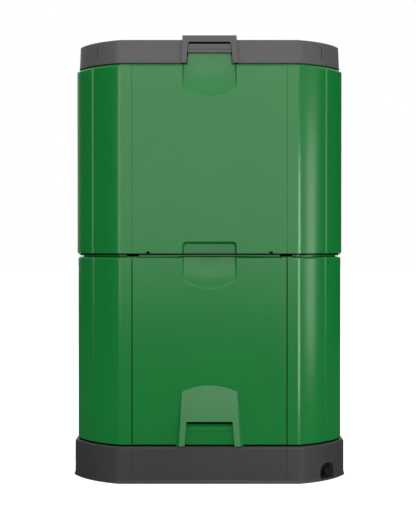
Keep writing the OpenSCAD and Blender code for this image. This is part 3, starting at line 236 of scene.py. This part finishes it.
def eased_moulding(node, name, body, material, radius):
    """A copy of a node whose sharp edges have the small radius that its mould leaves."""
    same_point = 0.00001
    still_flat = math.radians(0.5)
    sharp_edge = math.radians(30)
    smooth_turn = math.radians(40)
    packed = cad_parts[node].data
    surface = BVHTree.FromPolygons([v.co for v in packed.vertices],
                                   [tuple(p.vertices) for p in packed.polygons])
    # Where the edges crowd so much that the radius leaves a spike, the edges stay as packed.
    for width in (radius, 0):
        bpy.ops.object.select_all(action="DESELECT")
        piece = bpy.data.objects.new(name, packed.copy())
        bpy.context.scene.collection.objects.link(piece)
        piece.select_set(True)
        bpy.context.view_layer.objects.active = piece
        bpy.ops.object.mode_set(mode="EDIT")
        bpy.ops.mesh.select_all(action="SELECT")
        bpy.ops.mesh.customdata_custom_splitnormals_clear()
        bpy.ops.mesh.remove_doubles(threshold=same_point)
        bpy.ops.mesh.dissolve_limited(angle_limit=still_flat)
        bpy.ops.object.mode_set(mode="OBJECT")
        if width == 0:
            break
        edge = piece.modifiers.new("edge", "BEVEL")
        edge.width = width
        edge.segments = 2
        edge.limit_method = "ANGLE"
        edge.angle_limit = sharp_edge
        edge.miter_outer = "MITER_ARC"
        bpy.ops.object.modifier_apply(modifier="edge")
        if max(surface.find_nearest(v.co)[3] for v in piece.data.vertices) < width:
            break
        bpy.data.objects.remove(piece)
    bpy.ops.object.shade_smooth_by_angle(angle=smooth_turn)
    even = piece.modifiers.new("even", "WEIGHTED_NORMAL")
    even.keep_sharp = True
    bpy.ops.object.modifier_apply(modifier="even")
    piece.data.materials.clear()
    piece.data.materials.append(material)
    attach(piece, body)
    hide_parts(node)


edge_radius = 0.0008
base_plastic = moulded_plastic("base_plastic", (0.036, 0.036, 0.037),
                               roughness=0.52, specular=0.2, grain=0.25, mottling=0.05)
eased_moulding("base_tank", "base_moulding", "bin", base_plastic, edge_radius)


# Drain grate and air core
# Black moulded plastic parts that stand inside the bin, unseen until the lid is open. The
# core's two slotted shells are held by a foot and a cap.

black_plastic = moulded_plastic("black_plastic", (0.010, 0.010, 0.0105),
                                roughness=0.5, specular=0.2, grain=0.2, mottling=0.06)
for node in ("drain_grate", "lung_foot", "lung_front_shell", "lung_rear_shell", "lung_cap"):
    finish_node(node, black_plastic)


# Tap
# A black barrel with a spigot for a hose, sealed with a rubber ring and drawn up by a nut
# inside the tank. Its lever turns on top.

finish_node("tap_nut", black_plastic)
barrel_radius = 0.0005
tap_plastic = moulded_plastic("tap_plastic", (0.02, 0.02, 0.021),
                              roughness=0.28, specular=0.6, grain=0.1, mottling=0.05)
eased_moulding("tap_body", "tap_barrel", "bin", tap_plastic, barrel_radius)
eased_moulding("tap_lever", "tap_handle_moulding", "tap_handle", tap_plastic,
               edge_radius)
tap_rubber = moulded_plastic("tap_rubber", (0.012, 0.012, 0.012),
                             roughness=0.75, specular=0.3, grain=0.1, mottling=0.05)
finish_node("tap_seal", tap_rubber)


# Walls
# Hollow panels of satin green plastic outside and black plastic inside, filled with white
# bead foam, that stand in the base and on each other.

bin_green = (0.0045, 0.166, 0.029)
green_plastic = moulded_plastic("green_plastic", bin_green,
                                roughness=0.21, specular=0.27, grain=0.1, mottling=0.03)
bead_foam = moulded_plastic("bead_foam", (0.8, 0.8, 0.78),
                            roughness=0.9, specular=0.2, grain=1.0, mottling=0.02)
for tier in ("lower", "upper"):
    for side in ("front", "rear", "left", "right"):
        framed = tier == "lower" and side in ("front", "rear")
        outer = f"{tier}_{side}_{'frame' if framed else 'skin'}"
        eased_moulding(outer, f"{tier}_{side}_panel", "bin", green_plastic,
                       edge_radius)
        finish_node(f"{tier}_{side}_foam", bead_foam)
        finish_node(f"{tier}_{side}_liner", black_plastic)

# The clips between the tiers are dull black plastic. The same near-black is painted shade in the
# two bands that
# run round the walls: one fills the shadow gap over the base's rim, one lies under the foot of the
# upper tier.
black_and_painted_shade = moulded_plastic("black_and_painted_shade", (0.002, 0.002, 0.002),
                             roughness=0.7, specular=0.02, grain=0.1, mottling=0.05)
finish_node("tier_clips", black_and_painted_shade)
shade_band_width = 0.013
corner_start = 0.235
corner_bow = 0.3607
# Each band is painted shade: a near-black ring set in a gap where the walls leave only shadow.
for name, half_side, foot, height in (("foot_shade_band", 0.3565, 0.0965, 0.0045),
                                      ("seam_shade_band", 0.3570, 0.6013, 0.0032)):
    bpy.ops.object.select_all(action="DESELECT")
    bpy.ops.mesh.primitive_plane_add(size=2 * half_side, location=(0, 0, foot))
    shade_band = bpy.context.object
    shade_band.name = name
    bpy.ops.object.mode_set(mode="EDIT")
    bpy.ops.mesh.select_all(action="SELECT")
    bpy.ops.mesh.bevel(offset=half_side - corner_start, segments=24, profile=corner_bow,
                       affect="VERTICES")
    bpy.ops.mesh.select_all(action="SELECT")
    bpy.ops.mesh.inset(thickness=shade_band_width)
    bpy.ops.mesh.delete(type="FACE")
    bpy.ops.mesh.select_all(action="SELECT")
    bpy.ops.mesh.extrude_region_move(TRANSFORM_OT_translate={"value": (0, 0, height)})
    bpy.ops.mesh.select_all(action="SELECT")
    bpy.ops.mesh.normals_make_consistent(inside=False)
    bpy.ops.object.mode_set(mode="OBJECT")
    bpy.ops.object.transform_apply(location=True, rotation=True, scale=True)
    shade_band.data.materials.append(black_and_painted_shade)
    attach(shade_band, "bin")


def painted_shade_bar(name, middle, size, easing):
    """A straight black strip or sheet with softened edges, set in as painted shade."""
    bpy.ops.object.select_all(action="DESELECT")
    bpy.ops.mesh.primitive_cube_add(size=1, location=middle, scale=size)
    bar = bpy.context.object
    bar.name = name
    bpy.ops.object.transform_apply(location=True, rotation=True, scale=True)
    bpy.ops.object.mode_set(mode="EDIT")
    bpy.ops.mesh.select_all(action="SELECT")
    bpy.ops.mesh.bevel(offset=easing, segments=2, affect="EDGES")
    bpy.ops.object.mode_set(mode="OBJECT")
    bar.data.materials.append(black_and_painted_shade)
    return bar


# A black strip deep in each corner joint is painted shade: it keeps light from passing between the
# walls, so the joint reads dark. It is made on the middle plane, copied, and each one is turned
# round the bin to its corner.
corner_shade_strips = [painted_shade_bar("corner_strip_1", middle=(0.412, 0, 0.6085),
                           size=(0.012, 0.0016, 1.037), easing=0.0004)]
for number in (2, 3, 4):
    another = bpy.data.objects.new(f"corner_strip_{number}", corner_shade_strips[0].data.copy())
    bpy.context.scene.collection.objects.link(another)
    corner_shade_strips.append(another)
for strip, corner_angle in zip(corner_shade_strips, (45, 135, 225, 315)):
    bpy.ops.object.select_all(action="DESELECT")
    strip.select_set(True)
    bpy.context.view_layer.objects.active = strip
    strip.rotation_euler.z = math.radians(corner_angle)
    bpy.ops.object.transform_apply(location=True, rotation=True, scale=True)
    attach(strip, "bin")


# Doors
# The same satin green plastic, hung on two black pins each. A green pull is pegged to the
# foot of each door.

pull_plastic = moulded_plastic("pull_plastic", bin_green,
                               roughness=0.3, specular=0.6, grain=0.1, mottling=0.03)
for door, facing in (("front_door", -1), ("rear_door", 1)):
    eased_moulding(f"{door}_skin", f"{door}_panel", door, green_plastic,
                   edge_radius)
    eased_moulding(f"{door}_pull", f"{door}_handle", door, pull_plastic,
                   edge_radius)
    finish_node(f"{door}_foam", bead_foam)
    finish_node(f"{door}_liner", black_plastic)

    # A black sheet at the back of the finger pocket behind the pull is painted shade.
    pocket_shade = painted_shade_bar(f"{door}_pocket_shade_sheet", middle=(0, facing * 0.3507, 0.18365),
                       size=(0.119, 0.0024, 0.0593), easing=0.0006)
    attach(pocket_shade, door)

    # Black strips in the gaps beside the door are painted shade.
    for hand, side in (("left", -1), ("right", 1)):
        strip = painted_shade_bar(f"{door}_{hand}_strip", middle=(side * 0.2043, facing * 0.35025, 0.34175),
                          size=(0.0028, 0.0125, 0.4785), easing=0.0006)
        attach(strip, "bin")
finish_node("door_pins", black_plastic)


# Lid
# A matt grey moulding with a hood over its front edge, a black inner plug and a grey latch
# bar that rocks in the hood's mouth. It swings on two bright steel pins at the rear.

bright_steel = bpy.data.materials.new("bright_steel")
bright_steel.use_nodes = True
shader = bright_steel.node_tree.nodes["Principled BSDF"]
shader.inputs["Base Color"].default_value = (0.6, 0.6, 0.62, 1)
shader.inputs["Metallic"].default_value = 1
shader.inputs["Roughness"].default_value = 0.28
finish_node("lid_hinge_pins", bright_steel)

latch_radius = 0.0006
lid_plastic = moulded_plastic("lid_plastic", (0.071, 0.071, 0.072),
                              roughness=0.5, specular=0.3, grain=0.25, mottling=0.04)
eased_moulding("lid_shell", "lid_moulding", "lid", lid_plastic, edge_radius)
eased_moulding("lid_latch", "latch_bar", "latch", lid_plastic, latch_radius)
finish_node("lid_foam", bead_foam)
finish_node("lid_liner", black_plastic)

# A thin black sheet on the roof of the hood's mouth is painted shade.
mouth_shade_sheet = painted_shade_bar("mouth_shade_sheet", middle=(0, -0.3475, 1.15995),
                         size=(0.105, 0.026, 0.0009), easing=0.0002)
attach(mouth_shade_sheet, "lid")
